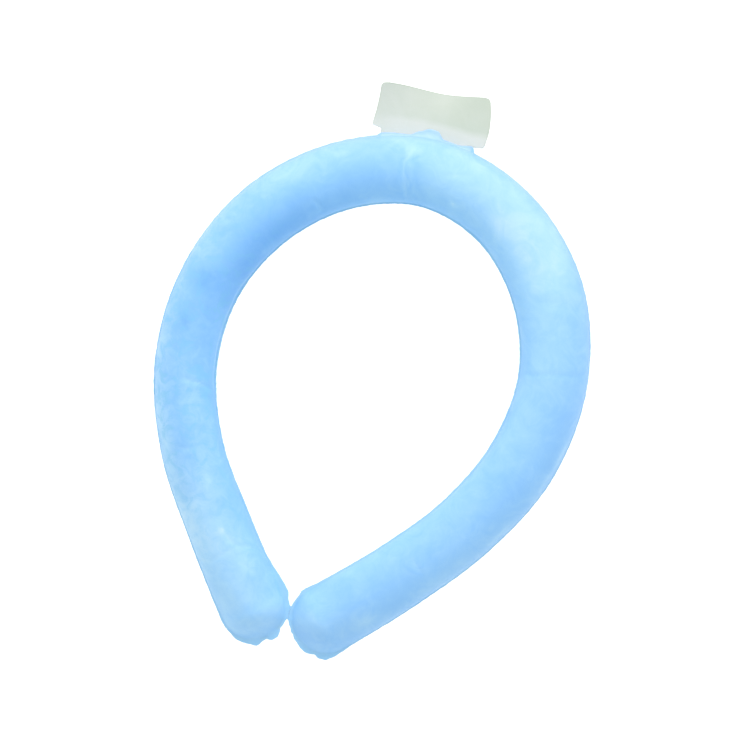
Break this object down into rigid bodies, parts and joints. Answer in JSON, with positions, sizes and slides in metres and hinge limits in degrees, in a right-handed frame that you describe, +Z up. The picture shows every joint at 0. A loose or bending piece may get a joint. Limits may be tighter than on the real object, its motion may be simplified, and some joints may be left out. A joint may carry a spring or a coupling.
{
  "type": "cooling neck ring",
  "caption": "C-shaped tube of blue cooling gel sealed between two frosted plastic films, worn round the neck, with a flat plain tab at the back.",
  "frame": {"origin": "bottom centre of the ring's box, on the surface that it lies on", "axes": "+Z up, square to the ring, which lies flat; +Y from the two free ends to the tab at the back of the neck; +X to the right seen from above"},
  "size_m": [0.1562, 0.2152, 0.0211],
  "materials": {
    "ring_film": "frosted, translucent",
    "gel": "cloudy blue",
    "tab_film": "frosted, whitish"
  },
  "bodies": {
    "root": {"upper_film": "ring_film", "lower_film": "ring_film", "cooling_gel": "gel", "back_tab": "tab_film"}
  },
  "joints": []
}
